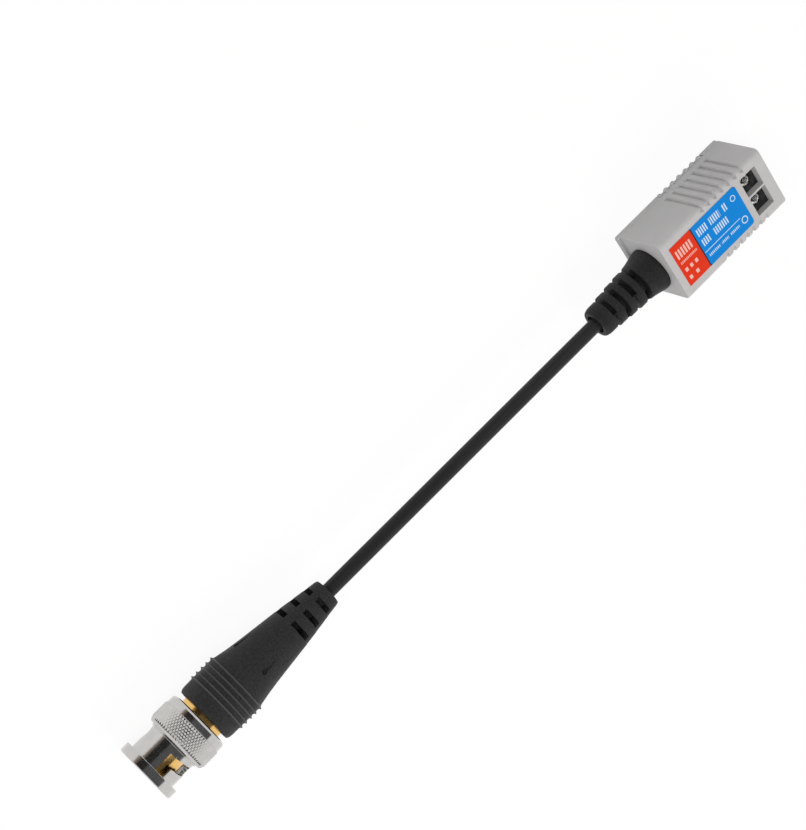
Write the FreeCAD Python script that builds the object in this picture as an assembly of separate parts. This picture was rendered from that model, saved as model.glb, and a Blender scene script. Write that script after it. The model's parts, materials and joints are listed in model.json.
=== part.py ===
import FreeCAD, Part
import math
import os

# A passive video balun: a moulded case with two screw terminals, a short coaxial
# pigtail and a bayonet plug. Millimetres. +X runs from the plug to the terminals,
# +Z points out of the label, and the origin is under the middle of the case.

round_chords = 3

# Case
case_length = 31.7
case_width = 15.0
case_height = 15.0
side_wall = 1.4
end_wall = 1.5
face_wall = 1.9
face_edge_radius = 1.7
case_edge_radius = 0.5
inner_edge_radius = 0.4
cover_thickness = 1.55
cover_edge_radius = 0.4
lip_thickness = 0.9
lip_height = 1.15
lip_clearance = 0.1
cord_axis_height = 7.5

# Grip grooves and cover ribs
groove_count = 7
groove_pitch = 2.09
groove_start = 12.9
groove_width = 0.8
groove_floor_width = 0.36
groove_depth = 0.28
groove_foot = 3.45
rib_height = 1.35
rib_radius = 0.62
rib_proud = 0.1
rib_offset = 0.5
rib_bed_depth = 0.12

# Label
label_thickness = 0.12
label_start = 1.75
label_length = 20.5
label_margin = 0.65
label_corner_radius = 0.8

# Terminals
terminal_pitch = 5.08
terminal_inset = 5.4
window_length = 4.8
window_width = 4.75
window_rib = 0.45
wire_hole_radius = 1.9
wire_hole_chamfer = 0.3
block_depth = 7.4
block_side_wall = 0.66
block_gap = 0.1
block_floor = 0.8
head_radius = 1.5
head_height = 1.2
head_depth = 2.6
head_play = 0.1
shank_radius = 1.25
thread_play = 0.05
cross_width = 0.45
cross_length = 2.1
cross_depth = 0.7
cage_width = 3.8
cage_depth = 3.6
cage_wall = 0.6
cage_roof = 0.85
cage_play = 0.1
cage_travel = 1.7
closing_gap = 0.3
bar_thickness = 0.55
bar_width = 2.2
bar_play = 0.05
pin_width = 1.0
pin_hole_radius = 0.65
pin_stand_off = 0.95

# Board and what is on it
board_thickness = 1.2
board_side_gap = 0.2
board_near_gap = 3.25
core_outer_radius = 3.4
core_inner_radius = 1.75
core_height = 3.0
wire_thickness = 0.35
wire_play = 0.05
turns_per_winding = 7
turn_step = 21.0
capacitor_radius = 2.0
capacitor_thickness = 1.3
capacitor_spacing = 5.4
capacitor_inset = 2.1
lead_radius = 0.25
lead_length = 0.9
lead_spacing = 2.5
diode_length = 4.6
diode_width = 2.4
diode_height = 2.2
diode_gap = 0.3

# Strain relief
relief_bore_play = 0.05
relief_neck_radius = 3.7
relief_neck_play = 0.1
relief_flange_radius = 4.3
relief_flange_thickness = 1.4
relief_flange_gap = 0.05
relief_rim_radius = 5.3
relief_tip_distance = 18.0
relief_flare_length = 5.75
relief_ring_radii = (4.36, 4.17, 3.91, 3.64)
relief_ring_pitch = 2.9
relief_ring_shoulder = 0.3
relief_ring_gap = 0.12
relief_rim_round = 0.5
relief_flare_waist = 2.67
relief_flare_waist_radius = 4.9
relief_flare_foot = 4.0
relief_flare_foot_radius = 4.58
relief_tip_round = 1.7
relief_tip_radius = 3.15
relief_slot_start = 4.35
relief_slot_pitch = 2.95
relief_slot_width = 1.55
relief_slot_narrowing = 0.15
relief_core_radius = 2.35
relief_web = 1.6

# Cable
cable_diameter = 3.2
cable_visible_length = 80.0
core_radius = 0.8
conductor_radius = 0.25
tail_radius = 0.4
tail_bend = 1.2
tail_run = 0.6

# Plug, with stations counted back from the front rim of the coupling nut
plug_roll = 8.6
barrel_front = 1.8
barrel_radius = 4.05
barrel_wall = 0.5
barrel_slots = 4
barrel_slot_width = 0.4
barrel_slot_end = 7.6
insulator_front = 8.0
insulator_rear = 13.5
insulator_play = 0.03
flange_front = 9.7
flange_thickness = 1.2
flange_radius = 5.9
hub_radius = 5.0
hub_rear = 19.5
stem_radius = 1.3
stem_rear = 25.5
stem_bore_play = 0.15
centre_pin_radius = 0.675
centre_pin_body_radius = 0.95
centre_pin_shoulder_gap = 0.1
centre_pin_front = 3.2
centre_pin_rear = 13.2
pin_cup_depth = 2.4
pin_cup_play = 0.05
gasket_thickness = 1.2
gasket_outer_radius = 4.8
gasket_play = 0.05
ferrule_wall = 0.45
ferrule_length = 8.8
braid_wall = 0.2

# Coupling nut
nut_roll = 57.0
nut_length = 15.1
nut_flange_length = 2.15
nut_flange_radius = 6.8
nut_sleeve_radius = 5.62
nut_bore_radius = 4.9
nut_bore_end = 9.6
nut_knurl_start = 8.2
nut_knurl_end = 12.9
nut_knurl_radius = 7.12
nut_knurl_edge_radius = 6.75
nut_rear_radius = 7.02
nut_rear_round = 0.9
nut_chamber_play = 0.1
lug_slot_width = 2.3
lug_slot_end = 6.4
lug_slot_angle = 70.0
lug_groove_radius = 5.75
detent_station = 6.15
detent_radius = 1.6
ramp_start_station = 5.25
nut_travel = 0.8

# Washers and retaining ring
washer_play = 0.1
wave_height = 0.8
wave_thickness = 0.22
wave_count = 3
thrust_thickness = 0.45
retainer_thickness = 0.6
retainer_inner_radius = 5.35
retainer_outer_radius = 6.3
retainer_gap = 1.4
retainer_play = 0.05
stack_gap = 0.05

# Boot
boot_front = 16.2
boot_length = 34.75
boot_radius = 6.78
boot_front_round = 0.95
boot_ridge_start = 19.83
boot_ridge_pitch = 1.3
boot_ridge_count = 5
boot_ridge_radius = 7.24
boot_ridge_flank = 0.42
boot_cone_stations = (25.7, 28.3, 31.2, 34.5, 42.0, 47.0)
boot_cone_radii = (6.62, 6.13, 5.7, 5.31, 4.37, 3.64)
boot_tip_radius = 3.12
boot_tip_round = 0.35
boot_seat_play = 0.02
boot_cavity_radius = 4.6
boot_cavity_end = 31.0
boot_cavity_tip_radius = 2.3
boot_slot_start = 41.1
boot_slot_pitch = 3.44
boot_slot_rows = 3
boot_slot_width = 1.22
boot_slot_half_angle = 30.5
boot_core_radius = 2.3

# Derived places
near_end = -case_length / 2
far_end = case_length / 2
half_width = case_width / 2
cavity_half_width = half_width - side_wall
cavity_top = case_height - face_wall
cavity_near = near_end + end_wall
cavity_far = far_end - end_wall
label_width = 2 * (half_width - face_edge_radius - label_margin)
lip_top = cover_thickness + lip_height
board_bottom = lip_top
board_top = board_bottom + board_thickness
board_near = cavity_near + board_near_gap
board_width = 2 * (cavity_half_width - board_side_gap)
cable_radius = cable_diameter / 2
terminal_x = far_end - terminal_inset
block_far = cavity_far - block_gap
block_near = block_far - block_depth
block_top = cavity_top - block_gap
block_width = terminal_pitch + cage_width + 2 * (cage_play + block_side_wall)
capacitor_place = board_near + capacitor_inset
diode_place = block_near - diode_gap - diode_width / 2
core_place = (capacitor_place + capacitor_radius + diode_place - diode_width / 2) / 2
head_top = case_height - head_depth
head_bottom = head_top - head_height
cage_bottom = board_top + block_floor + bar_play
wire_floor = cage_bottom + cage_wall
wire_gap = cage_travel + closing_gap
bar_bottom = wire_floor + wire_gap
bar_top = bar_bottom + bar_thickness
cage_ceiling = bar_top + bar_play
cage_top = cage_ceiling + cage_roof
ledge_bottom = cage_top + cage_travel + cage_play
wire_height = wire_floor + wire_gap / 2
plug_front = near_end - relief_tip_distance - cable_visible_length - boot_front - boot_length
rows = {"left": 1, "right": -1}

X = FreeCAD.Vector(1, 0, 0)
Y = FreeCAD.Vector(0, 1, 0)
Z = FreeCAD.Vector(0, 0, 1)
cord_axis = FreeCAD.Vector(0, 0, cord_axis_height)


def point(x, y, z):
    return FreeCAD.Vector(x, y, z)


def block(x0, x1, y0, y1, z0, z1):
    return Part.makeBox(x1 - x0, y1 - y0, z1 - z0, point(x0, y0, z0))


def rod(x0, x1, radius, y=0.0, z=cord_axis_height):
    return Part.makeCylinder(radius, x1 - x0, point(x0, y, z), X)


def tube(x0, x1, inner, outer):
    return rod(x0, x1, outer).cut(rod(x0 - 1, x1 + 1, inner))


def post(x, y, z0, z1, radius):
    return Part.makeCylinder(radius, z1 - z0, point(x, y, z0), Z)


def station(distance):
    return plug_front + distance


def fuse_all(shapes):
    return shapes[0].multiFuse(shapes[1:]).removeSplitter()


def turned(points):
    """A solid of revolution about the cord's axis, from (x, radius) points."""
    corners = [point(x, 0, cord_axis_height + r) for x, r in points]
    face = Part.Face(Part.makePolygon(corners + [corners[0]]))
    return face.revolve(cord_axis, X, 360)


def rounded_corner(x0, r0, x1, r1):
    """Points of a quarter round in three chords, bulging away from the cord's axis."""
    points = []
    for i in range(round_chords + 1):
        angle = math.pi / 2 * i / round_chords
        rise, run = math.sin(angle), 1 - math.cos(angle)
        if r1 > r0:
            points.append((x0 + (x1 - x0) * run, r0 + (r1 - r0) * rise))
        else:
            points.append((x0 + (x1 - x0) * rise, r0 + (r1 - r0) * run))
    return points


def rolled(shape, degrees):
    shape.rotate(cord_axis, X, degrees)
    return shape


def edges_on_plane(shape, axis, value, keep):
    """Edges that lie in the plane where that coordinate has that value."""
    found = []
    for edge in shape.Edges:
        box = edge.BoundBox
        low, high = (box.XMin, box.XMax) if axis == "x" else (box.ZMin, box.ZMax)
        if abs(low - value) < 1e-4 and abs(high - value) < 1e-4 and keep(edge.CenterOfMass):
            found.append(edge)
    return found


def arched_bar(x0, x1, half, z0, z1, radius):
    """A bar along X, flat below and with its two upper long edges rounded."""
    bend = radius * (1 - math.sqrt(0.5))
    wire = Part.Wire([
        Part.LineSegment(point(x0, -half, z0), point(x0, half, z0)).toShape(),
        Part.LineSegment(point(x0, half, z0), point(x0, half, z1 - radius)).toShape(),
        Part.Arc(point(x0, half, z1 - radius), point(x0, half - bend, z1 - bend),
                 point(x0, half - radius, z1)).toShape(),
        Part.LineSegment(point(x0, half - radius, z1), point(x0, radius - half, z1)).toShape(),
        Part.Arc(point(x0, radius - half, z1), point(x0, bend - half, z1 - bend),
                 point(x0, -half, z1 - radius)).toShape(),
        Part.LineSegment(point(x0, -half, z1 - radius), point(x0, -half, z0)).toShape(),
    ])
    return Part.Face(wire).extrude(point(x1 - x0, 0, 0))


# Case

def grip_groove(x, side):
    """One tapered groove that climbs a side wall and bends over onto the face."""
    outer = side * (half_width + groove_depth)
    inner = side * (half_width - groove_depth)
    wide = groove_width - groove_floor_width / 2
    narrow = groove_floor_width / 2
    corner_y = side * (half_width - face_edge_radius)
    corner_z = case_height - face_edge_radius
    corners = [point(x - wide, outer, corner_z), point(x + wide, outer, corner_z),
               point(x + narrow, inner, corner_z), point(x - narrow, inner, corner_z)]
    section = Part.Face(Part.makePolygon(corners + [corners[0]]))
    bend = section.revolve(point(x, corner_y, corner_z), X, 90 * side)
    climb = section.extrude(point(0, 0, groove_foot - corner_z))
    return climb.fuse(bend)


def groove_places():
    return [near_end + groove_start + groove_pitch * i for i in range(groove_count)]


def front_shell():
    body = arched_bar(near_end, far_end, half_width, cover_thickness, case_height, face_edge_radius)
    rims = []
    for end in (near_end, far_end):
        rims += edges_on_plane(body, "x", end, lambda c: c.z > cover_thickness + 0.1)
    body = body.makeFillet(case_edge_radius, rims)
    body = body.cut(arched_bar(cavity_near, cavity_far, cavity_half_width, 0, cavity_top,
                               inner_edge_radius))
    ribs = []
    for x in (core_place - core_outer_radius - 1.5, block_near - 1.5):
        for side in (1, -1):
            inner, outer = sorted((side * (cavity_half_width - 0.6), side * (cavity_half_width + 0.3)))
            ribs.append(block(x - 0.5, x + 0.5, inner, outer, board_top + lip_clearance,
                              cavity_top + 0.3))
    body = fuse_all([body] + ribs)
    cutters = [rod(near_end - 1, cavity_near + 1, relief_neck_radius + relief_neck_play)]
    for side in rows.values():
        centre = side * (window_width + window_rib) / 2
        cutters.append(block(terminal_x - window_length / 2, terminal_x + window_length / 2,
                             centre - window_width / 2, centre + window_width / 2,
                             cavity_top - 1, case_height + 1))
        wire_y = side * terminal_pitch / 2
        cutters.append(rod(cavity_far - 1, far_end + 1, wire_hole_radius, wire_y, wire_height))
        cutters.append(Part.makeCone(wire_hole_radius, wire_hole_radius + wire_hole_chamfer,
                                     wire_hole_chamfer,
                                     point(far_end - wire_hole_chamfer, wire_y, wire_height), X))
        cutters += [grip_groove(x, side) for x in groove_places()]
    return body.cut(Part.makeCompound(cutters))


def back_cover():
    plate = block(near_end, far_end, -half_width, half_width, 0, cover_thickness)
    uprights = [e for e in plate.Edges
                if abs(e.BoundBox.ZMax - e.BoundBox.ZMin - cover_thickness) < 1e-4]
    plate = plate.makeFillet(case_edge_radius, uprights)
    plate = plate.makeFillet(cover_edge_radius, edges_on_plane(plate, "z", 0, lambda c: True))
    lip_half = cavity_half_width - lip_clearance
    lip = block(cavity_near + lip_clearance, cavity_far - lip_clearance, -lip_half, lip_half,
                cover_thickness - 0.3, lip_top)
    lip = lip.cut(block(cavity_near + lip_clearance + lip_thickness,
                        cavity_far - lip_clearance - lip_thickness,
                        lip_thickness - lip_half, lip_half - lip_thickness,
                        cover_thickness, lip_top + 1))
    ribs = []
    beds = []
    first, last = groove_places()[0], groove_places()[-1]
    for side in (1, -1):
        inner, outer = sorted((side * (half_width - rib_bed_depth), side * (half_width + 1)))
        beds.append(block(first, last + 2 * rib_offset, inner, outer, -1, rib_height))
        rib_y = side * (half_width + rib_proud - rib_radius)
        for x in groove_places():
            ribs.append(post(x + rib_offset, rib_y, cover_edge_radius, rib_height, rib_radius))
    return fuse_all([plate.cut(Part.makeCompound(beds)), lip] + ribs)


def label():
    start = near_end + label_start
    sheet = block(start, start + label_length, -label_width / 2, label_width / 2,
                  case_height, case_height + label_thickness)
    corners = [e for e in sheet.Edges
               if abs(e.BoundBox.ZMax - e.BoundBox.ZMin - label_thickness) < 1e-4
               and e.CenterOfMass.x > start + 1]
    return sheet.makeFillet(label_corner_radius, corners)


# Board and components

def circuit_board():
    board = block(board_near, block_far, -board_width / 2, board_width / 2,
                  board_bottom, board_top)
    holes = [post(pin_place(), side * terminal_pitch / 2, 0, case_height, pin_hole_radius)
             for side in rows.values()]
    return board.cut(Part.makeCompound(holes))


def core_floor():
    return board_top + wire_thickness + 2 * wire_play


def ferrite_core():
    ring = post(core_place, 0, core_floor(), core_floor() + core_height, core_outer_radius)
    hole = post(core_place, 0, 0, case_height, core_inner_radius)
    ring = ring.cut(hole)
    return ring.makeChamfer(0.3, [e for e in ring.Edges if len(e.Vertexes) == 1])


def winding(side):
    """Separate turns of enamelled wire round one half of the ring core."""
    inner = core_inner_radius - wire_play
    outer = core_outer_radius + wire_play
    low = core_floor() - wire_play
    high = core_floor() + core_height + wire_play
    half = wire_thickness / 2
    turns = []
    for i in range(turns_per_winding):
        frame = block(core_place + inner - wire_thickness, core_place + outer + wire_thickness,
                      -half, half, low - wire_thickness, high + wire_thickness)
        frame = frame.cut(block(core_place + inner, core_place + outer, -1, 1, low, high))
        angle = side * 90 + (i - (turns_per_winding - 1) / 2) * turn_step
        frame.rotate(point(core_place, 0, 0), Z, angle)
        turns.append(frame)
    return Part.makeCompound(turns)


def ceramic_capacitors():
    discs = []
    for side in (1, -1):
        y = side * capacitor_spacing / 2
        z = board_top + lead_length + capacitor_radius
        disc = Part.makeCylinder(capacitor_radius, capacitor_thickness,
                                 point(capacitor_place, y - capacitor_thickness / 2, z), Y)
        disc = disc.makeChamfer(0.35, [e for e in disc.Edges if len(e.Vertexes) == 1])
        leads = [post(capacitor_place + end * lead_spacing / 2, y, board_top, z, lead_radius)
                 for end in (1, -1)]
        discs.append(fuse_all([disc] + leads))
    return Part.makeCompound(discs)


def surge_diode():
    return block(diode_place - diode_width / 2, diode_place + diode_width / 2,
                 -diode_length / 2, diode_length / 2, board_top, board_top + diode_height)


# Screw terminals

def pin_place():
    return block_near + 1.0


def terminal_block():
    body = block(block_near, block_far, -block_width / 2, block_width / 2, board_top, block_top)
    cutters = []
    half_x = cage_depth / 2 + cage_play
    half_y = cage_width / 2 + cage_play
    for side in rows.values():
        y = side * terminal_pitch / 2
        cutters.append(block(terminal_x - half_x, terminal_x + half_x, y - half_y, y + half_y,
                             board_top + block_floor, ledge_bottom))
        cutters.append(post(terminal_x, y, ledge_bottom - 1, head_bottom + 1,
                            shank_radius + 2 * thread_play))
        cutters.append(post(terminal_x, y, head_bottom - thread_play, block_top + 1,
                            head_radius + head_play))
        gate = cage_width / 2 - cage_wall
        cutters.append(block(terminal_x, block_far + 1, y - gate, y + gate, wire_floor, bar_bottom))
        cutters.append(block(pin_place() - bar_thickness / 2 - bar_play, terminal_x,
                             y - bar_width / 2 - bar_play, y + bar_width / 2 + bar_play,
                             board_top - 1, bar_top + bar_play))
    return body.cut(Part.makeCompound(cutters))


def terminal_screw(side):
    y = side * terminal_pitch / 2
    shank = post(terminal_x, y, bar_top + 2 * bar_play, head_bottom + 0.2, shank_radius)
    head = post(terminal_x, y, head_bottom, head_top, head_radius)
    rims = [e for e in head.Edges if len(e.Vertexes) == 1 and e.CenterOfMass.z > head_bottom + 0.1]
    head = head.makeChamfer(0.2, rims)
    screw = fuse_all([shank, head])
    half = cross_width / 2
    reach = cross_length / 2
    cross = [block(terminal_x - reach, terminal_x + reach, y - half, y + half,
                   head_top - cross_depth, head_top + 1),
             block(terminal_x - half, terminal_x + half, y - reach, y + reach,
                   head_top - cross_depth, head_top + 1)]
    return screw.cut(fuse_all(cross))


def wire_cage(side):
    y = side * terminal_pitch / 2
    half_x = cage_depth / 2
    half_y = cage_width / 2
    body = block(terminal_x - half_x, terminal_x + half_x, y - half_y, y + half_y,
                 cage_bottom, cage_top)
    mouth = block(terminal_x - half_x - 1, terminal_x + half_x + 1, y - half_y + cage_wall,
                  y + half_y - cage_wall, wire_floor, cage_ceiling)
    thread = post(terminal_x, y, cage_ceiling - 1, cage_top + 1, shank_radius + thread_play)
    return body.cut(fuse_all([mouth, thread]))


def contact_bar(side):
    """The fixed strip that a wire is pressed against, with its leg through the board."""
    y = side * terminal_pitch / 2
    leg_x = pin_place()
    strip = block(leg_x - bar_thickness / 2, terminal_x + cage_depth / 2, y - bar_width / 2,
                  y + bar_width / 2, bar_bottom, bar_top)
    leg = block(leg_x - bar_thickness / 2, leg_x + bar_thickness / 2, y - pin_width / 2,
                y + pin_width / 2, board_bottom - pin_stand_off, bar_top)
    return fuse_all([strip, leg])


# Cable and its ends in the case

def cable_start():
    return cavity_near + relief_flange_gap + relief_flange_thickness + 0.3


def coax_cable():
    start = station(stem_rear + 0.4)
    jacket = rod(start, cable_start(), cable_radius)
    length = cable_start() - start
    print("cable jacket: one straight run of %.1f mm, no bends, volume ratio %.4f"
          % (length, jacket.Volume / (math.pi * cable_radius ** 2 * length)))
    return jacket


def bent_wire(y, radius, start, end_height):
    """A wire that leaves the jacket's end, bends down and stands on the board."""
    bend_x = start + tail_run
    bend_z = cord_axis_height - tail_bend
    run = rod(start, bend_x, radius, y)
    disc = Part.Face(Part.Wire(Part.makeCircle(radius, point(bend_x, y, cord_axis_height), X)))
    bend = disc.revolve(point(bend_x, y, bend_z), Y, 90)
    drop = post(bend_x + tail_bend, y, end_height, bend_z, radius)
    return fuse_all([run, bend, drop])


def core_tail():
    stripped = board_top + 0.7
    insulation = bent_wire(0, core_radius, cable_start(), stripped)
    conductor = post(cable_start() + tail_run + tail_bend, 0, board_top, stripped + 0.2,
                     conductor_radius)
    return fuse_all([insulation, conductor])


def braid_tail():
    return bent_wire(core_radius + tail_radius + 0.1, tail_radius, cable_start(), board_top)


# Strain relief on the case

def relief_outline():
    """Half section from the flange in the case to the small end on the cable."""
    bore = cable_radius + relief_bore_play
    inner_face = cavity_near + relief_flange_gap
    flange_end = inner_face + relief_flange_thickness
    rim_start = near_end - relief_rim_round
    flare_end = near_end - relief_flare_length
    first = relief_ring_radii[0]
    tip = near_end - relief_tip_distance
    steps = [(flange_end, bore),
             (flange_end, relief_flange_radius),
             (inner_face, relief_flange_radius),
             (inner_face, relief_neck_radius),
             (near_end, relief_neck_radius),
             (near_end, relief_rim_radius - relief_rim_round)]
    steps += rounded_corner(near_end, relief_rim_radius - relief_rim_round, rim_start,
                            relief_rim_radius)[1:]
    steps += [
             (near_end - relief_flare_waist, relief_flare_waist_radius),
             (near_end - relief_flare_foot, relief_flare_foot_radius),
             (flare_end + relief_ring_shoulder, first),
             (flare_end, first - relief_ring_shoulder)]
    for i, radius in enumerate(relief_ring_radii):
        start = flare_end - i * relief_ring_pitch - relief_ring_gap
        end = flare_end - (i + 1) * relief_ring_pitch
        steps += [(start, radius - relief_ring_shoulder), (start - relief_ring_shoulder, radius)]
        if i < len(relief_ring_radii) - 1:
            steps += [(end + relief_ring_shoulder, radius), (end, radius - relief_ring_shoulder)]
    last = relief_ring_radii[-1]
    steps += rounded_corner(tip + relief_tip_round, last, tip, relief_tip_radius)
    steps += [(tip, bore)]
    return steps


def strain_relief():
    body = turned(relief_outline())
    slots = []
    for i in range(len(relief_ring_radii)):
        width = relief_slot_width - i * relief_slot_narrowing
        middle = near_end - relief_slot_start - i * relief_slot_pitch
        ring = tube(middle - width / 2, middle + width / 2, relief_core_radius,
                    relief_rim_radius + 1)
        half = relief_web / 2
        reach = relief_rim_radius + 2
        if i % 2:
            web = block(middle - width, middle + width, -half, half, cord_axis_height - reach,
                        cord_axis_height + reach)
        else:
            web = block(middle - width, middle + width, -reach, reach, cord_axis_height - half,
                        cord_axis_height + half)
        slots.append(ring.cut(web))
    return body.cut(Part.makeCompound(slots))


# Plug

def plug_body():
    bore = barrel_radius - barrel_wall
    stem_bore = core_radius + stem_bore_play
    body = turned([
        (station(barrel_front), bore),
        (station(barrel_front), barrel_radius - 0.2),
        (station(barrel_front + 0.25), barrel_radius),
        (station(flange_front), barrel_radius),
        (station(flange_front), flange_radius),
        (station(flange_front + flange_thickness), flange_radius),
        (station(flange_front + flange_thickness), hub_radius),
        (station(hub_rear - 0.3), hub_radius),
        (station(hub_rear), hub_radius - 0.3),
        (station(hub_rear), stem_radius),
        (station(stem_rear), stem_radius),
        (station(stem_rear), stem_bore),
        (station(insulator_rear), stem_bore),
        (station(insulator_rear), bore)])
    slots = []
    for i in range(barrel_slots):
        half = barrel_slot_width / 2
        slot = block(station(barrel_front - 1), station(barrel_slot_end), -half, half,
                     cord_axis_height + bore - 0.3, cord_axis_height + barrel_radius + 0.5)
        slots.append(rolled(slot, 360.0 / barrel_slots * (i + 0.5)))
    return rolled(body.cut(Part.makeCompound(slots)), plug_roll)


def plug_insulator():
    outer = barrel_radius - barrel_wall - insulator_play
    return tube(station(insulator_front), station(insulator_rear),
                centre_pin_body_radius + insulator_play, outer)


def centre_pin():
    tip = centre_pin_radius * 0.45
    shoulder = station(insulator_front - centre_pin_shoulder_gap)
    pin = turned([
        (station(centre_pin_front), 0),
        (station(centre_pin_front), tip * 0.6),
        (station(centre_pin_front + 0.2), tip),
        (station(centre_pin_front + 1.1), centre_pin_radius),
        (shoulder, centre_pin_radius),
        (shoulder, centre_pin_body_radius),
        (station(centre_pin_rear), centre_pin_body_radius),
        (station(centre_pin_rear), 0)])
    cup = rod(station(centre_pin_rear - pin_cup_depth), station(centre_pin_rear + 1),
              conductor_radius + pin_cup_play)
    return pin.cut(cup)


def gasket():
    return tube(station(flange_front - gasket_play - gasket_thickness),
                station(flange_front - gasket_play), barrel_radius + gasket_play,
                gasket_outer_radius)


def core_end():
    """The cable's stripped core inside the plug: insulation, then the bare conductor."""
    insulation = rod(station(centre_pin_rear + 0.1), station(stem_rear + 0.4), core_radius)
    conductor = rod(station(centre_pin_rear - pin_cup_depth + 0.2),
                    station(centre_pin_rear + 0.3), conductor_radius)
    return fuse_all([insulation, conductor])


def braid_end():
    return tube(station(hub_rear + 0.2), station(stem_rear + 0.4), stem_radius + 0.05,
                stem_radius + 0.05 + braid_wall)


def crimp_ferrule():
    inner = cable_radius + 0.05
    ring = tube(station(hub_rear + 0.2), station(hub_rear + 0.2 + ferrule_length), inner,
                inner + ferrule_wall)
    rims = [e for e in ring.Edges if len(e.Vertexes) == 1 and e.Curve.Radius > inner + 0.1]
    return ring.makeChamfer(0.12, rims)


# Coupling nut

def bayonet_slot(turn):
    """The lug's way through the nut: entry groove, axial leg, ramp and detent hole."""
    leg_angle = -lug_slot_angle
    half = lug_slot_width / 2
    top = cord_axis_height
    groove = block(station(-1), station(nut_flange_length + 0.1), -half, half,
                   top + nut_bore_radius - 0.4, top + lug_groove_radius)
    leg = block(station(nut_flange_length), station(lug_slot_end), -half, half,
                top + nut_bore_radius - 0.4, top + nut_flange_radius)
    legs = [rolled(groove, leg_angle), rolled(leg, leg_angle)]
    mid_radius = (nut_bore_radius + nut_sleeve_radius) / 2
    pitch = (detent_station - ramp_start_station) * 360.0 / lug_slot_angle
    helix = Part.makeHelix(pitch, detent_station - ramp_start_station, mid_radius)
    section = Part.makePolygon([point(mid_radius - 1, 0, -half), point(mid_radius + 1, 0, -half),
                                point(mid_radius + 1, 0, half), point(mid_radius - 1, 0, half),
                                point(mid_radius - 1, 0, -half)])
    ramp = Part.Wire(helix.Edges).makePipeShell([section], True, True)
    ramp.rotate(point(0, 0, 0), Y, 90)
    ramp.translate(point(station(ramp_start_station), 0, cord_axis_height))
    ramp = rolled(ramp, 180 + leg_angle)
    hole = Part.makeCylinder(detent_radius, nut_flange_radius - nut_bore_radius + 0.5,
                             point(station(detent_station), 0, top + nut_bore_radius - 0.4), Z)
    return [rolled(cut, turn) for cut in legs + [ramp, hole]]


def nut_chamber_radius():
    return flange_radius + nut_chamber_play


def retainer_front():
    return (flange_front + flange_thickness + stack_gap + nut_travel + wave_height + stack_gap
            + thrust_thickness + stack_gap + retainer_play)


def coupling_nut():
    chamber = nut_chamber_radius()
    groove_front = retainer_front() - retainer_play
    groove_rear = retainer_front() + retainer_thickness + retainer_play
    groove_radius_in_nut = retainer_outer_radius + retainer_play
    rear = nut_rear_radius
    body = turned([
        (station(0), nut_bore_radius + 0.25),
        (station(0), nut_flange_radius - 0.25),
        (station(0.25), nut_flange_radius),
        (station(nut_flange_length - 0.15), nut_flange_radius),
        (station(nut_flange_length), nut_flange_radius - 0.15),
        (station(nut_flange_length), nut_sleeve_radius),
        (station(nut_knurl_start), nut_sleeve_radius),
        (station(nut_knurl_start), nut_knurl_edge_radius),
        (station(nut_knurl_start + 0.7), nut_knurl_radius - 0.12),
        (station(nut_knurl_start + 1.5), nut_knurl_radius),
        (station(nut_knurl_end), nut_knurl_radius),
        (station(nut_knurl_end + 0.3), rear),
        *rounded_corner(station(nut_length - nut_rear_round), rear, station(nut_length),
                        rear - nut_rear_round * 0.8),
        (station(nut_length), chamber),
        (station(groove_rear), chamber),
        (station(groove_rear), groove_radius_in_nut),
        (station(groove_front), groove_radius_in_nut),
        (station(groove_front), chamber),
        (station(nut_bore_end), chamber),
        (station(nut_bore_end), nut_bore_radius),
        (station(0.3), nut_bore_radius)])
    cutters = bayonet_slot(0) + bayonet_slot(180)
    return rolled(body.cut(cutters), nut_roll)


# Washers and ring inside the nut

def washer_inner_radius():
    return hub_radius + washer_play


def washer_outer_radius():
    return nut_chamber_radius() - washer_play


def wave_front():
    return flange_front + flange_thickness + stack_gap + nut_travel


def wave_washer():
    """A thin ring whose face rises and falls in even waves round the hub."""
    inner = washer_inner_radius()
    outer = washer_outer_radius()
    middle = (inner + outer) / 2
    swing = (wave_height - wave_thickness) / 2
    centre = station(wave_front() + wave_height / 2)
    count = 8 * wave_count
    crests = []
    for i in range(count):
        angle = 2 * math.pi * i / count
        crests.append(point(centre + swing * math.sin(wave_count * angle),
                            middle * math.sin(angle),
                            cord_axis_height + middle * math.cos(angle)))
    curve = Part.BSplineCurve()
    curve.interpolate(Points=crests, PeriodicFlag=True)
    half = wave_thickness / 2
    width = (outer - inner) / 2
    section = Part.makePolygon([
        point(centre - half, 0, cord_axis_height + middle - width),
        point(centre - half, 0, cord_axis_height + middle + width),
        point(centre + half, 0, cord_axis_height + middle + width),
        point(centre + half, 0, cord_axis_height + middle - width),
        point(centre - half, 0, cord_axis_height + middle - width)])
    sweep = Part.BRepOffsetAPI.MakePipeShell(Part.Wire(curve.toShape()))
    sweep.setBiNormalMode(X)
    sweep.add(section)
    sweep.build()
    sweep.makeSolid()
    return sweep.shape()


def thrust_washer():
    front = wave_front() + wave_height + stack_gap
    return tube(station(front), station(front + thrust_thickness), washer_inner_radius(),
                washer_outer_radius())


def retaining_ring():
    front = retainer_front()
    ring = tube(station(front), station(front + retainer_thickness), retainer_inner_radius,
                retainer_outer_radius)
    half = retainer_gap / 2
    gap = block(station(front - 1), station(front + retainer_thickness + 1), -half, half,
                cord_axis_height, cord_axis_height + retainer_outer_radius + 1)
    return rolled(ring.cut(gap), nut_roll)


# Boot

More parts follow.
